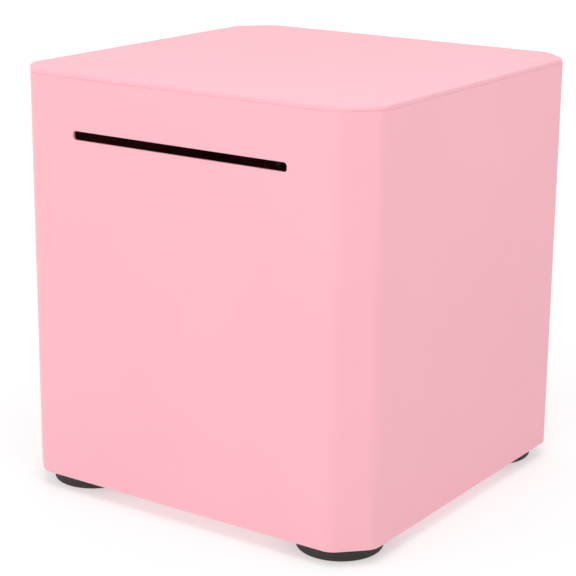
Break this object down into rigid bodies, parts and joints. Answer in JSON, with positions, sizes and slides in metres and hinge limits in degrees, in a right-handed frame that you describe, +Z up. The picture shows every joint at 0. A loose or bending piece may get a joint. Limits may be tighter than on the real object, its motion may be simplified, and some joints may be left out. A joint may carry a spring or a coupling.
{
  "type": "cube money box",
  "caption": "Cube-shaped sheet-steel money box with a long slot in the front, chamfered upright corners, rubber feet and a lockable rear door.",
  "frame": {"origin": "on the floor plane under the feet, at the middle of the box's width and depth", "axes": "+Z up; the face with the money slot looks along -Y, and the door is in the face that looks along +Y; +X is to the right as seen from the slot side"},
  "size_m": [0.149, 0.148, 0.1559],
  "materials": {
    "pink_coat": "fine matt powder coat, light pink",
    "black_rubber": "matt black moulded rubber",
    "zinc_plate": "bright zinc plate, lightly brushed",
    "nickel_plate": "satin nickel plate on die-cast zinc"
  },
  "bodies": {
    "case": {"body_wrap": "pink_coat", "top_cover": "pink_coat", "base_plate": "pink_coat", "foot_front_left": "black_rubber", "foot_washer_front_left": "zinc_plate", "foot_screw_front_left": "zinc_plate", "foot_nut_front_left": "zinc_plate", "foot_front_right": "black_rubber", "foot_washer_front_right": "zinc_plate", "foot_screw_front_right": "zinc_plate", "foot_nut_front_right": "zinc_plate", "foot_rear_left": "black_rubber", "foot_washer_rear_left": "zinc_plate", "foot_screw_rear_left": "zinc_plate", "foot_nut_rear_left": "zinc_plate", "foot_rear_right": "black_rubber", "foot_washer_rear_right": "zinc_plate", "foot_screw_rear_right": "zinc_plate", "foot_nut_rear_right": "zinc_plate", "hinge_leaf_case": "zinc_plate", "hinge_pin": "zinc_plate", "case_rivet_1": "zinc_plate", "case_rivet_2": "zinc_plate", "case_rivet_3": "zinc_plate"},
    "door": {"door_panel": "pink_coat", "hinge_leaf_door": "zinc_plate", "door_rivet_1": "zinc_plate", "door_rivet_2": "zinc_plate", "door_rivet_3": "zinc_plate", "lock_barrel": "nickel_plate", "lock_washer": "zinc_plate", "lock_nut": "zinc_plate"},
    "lock": {"lock_plug": "nickel_plate", "lock_cam": "zinc_plate", "cam_washer": "zinc_plate", "cam_screw": "zinc_plate"}
  },
  "joints": [
    {"name": "door_hinge", "type": "hinge", "parent": "case", "child": "door", "pos_m": [-0.052, 0.072, 0.0809], "axis": [0, 0, 1], "range_deg": [0, 150]},
    {"name": "lock_turn", "type": "hinge", "parent": "door", "child": "lock", "pos_m": [0.03528, 0.0697, 0.0809], "axis": [0, 1, 0], "range_deg": [0, 90]}
  ]
}
